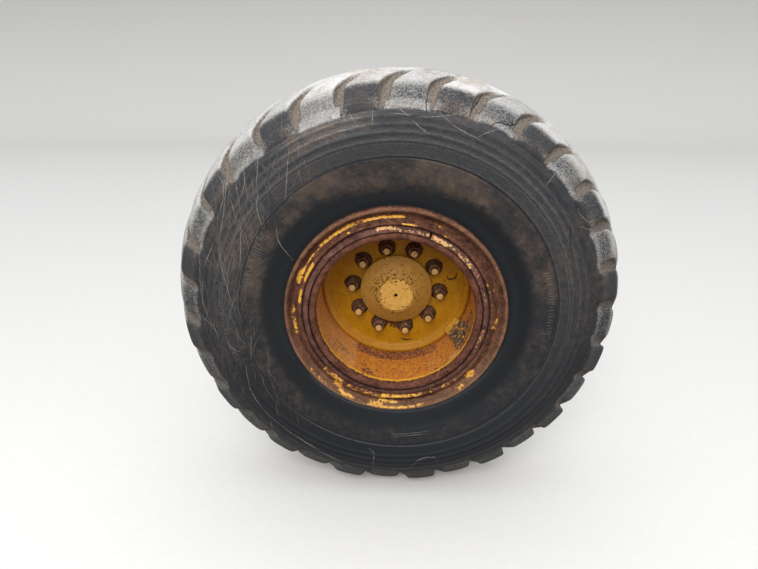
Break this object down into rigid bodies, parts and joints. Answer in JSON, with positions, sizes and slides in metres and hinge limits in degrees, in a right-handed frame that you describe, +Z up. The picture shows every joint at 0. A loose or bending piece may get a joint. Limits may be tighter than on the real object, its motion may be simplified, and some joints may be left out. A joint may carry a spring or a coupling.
{
  "type": "motor grader front wheel",
  "caption": "Worn road grader front wheel: lugged tyre on a three-piece rusty rim, dished disc, capped hub, turning freely on a steering knuckle with a bushed kingpin bore.",
  "frame": {"origin": "on the kingpin's axis, where the wheel's spin axis crosses it", "axes": "+Z up along the kingpin, +Y from the wheel towards the machine along the spin axis, +X towards the rear of the machine"},
  "size_m": [1.3638, 0.518, 1.3638],
  "materials": {
    "tyre": "weathered rubber",
    "rim_base": "rusted",
    "side_ring": "rusted",
    "lock_ring": "rusted",
    "wheel_disc": "worn paint",
    "wheel_studs": "tarnished",
    "wheel_nuts": "rusted",
    "hub": "worn paint",
    "hub_cap": "worn paint",
    "valve_guard": "rusted paint",
    "valve_stem": "tarnished",
    "grease_seal": "matt",
    "knuckle": "worn paint",
    "kingpin_bushings": "machined",
    "grease_fittings": "plated"
  },
  "bodies": {
    "steering_knuckle": {"knuckle": "knuckle", "kingpin_bushings": "kingpin_bushings", "grease_fittings": "grease_fittings"},
    "wheel": {"tyre": "tyre", "rim_base": "rim_base", "side_ring": "side_ring", "lock_ring": "lock_ring", "wheel_disc": "wheel_disc", "wheel_studs": "wheel_studs", "wheel_nuts": "wheel_nuts", "hub": "hub", "hub_cap": "hub_cap", "valve_guard": "valve_guard", "valve_stem": "valve_stem", "grease_seal": "grease_seal"}
  },
  "joints": [
    {"name": "wheel_spin", "type": "hinge", "parent": "steering_knuckle", "child": "wheel", "pos_m": [0, -0.268, 0], "axis": [0, 1, 0], "continuous": true}
  ]
}
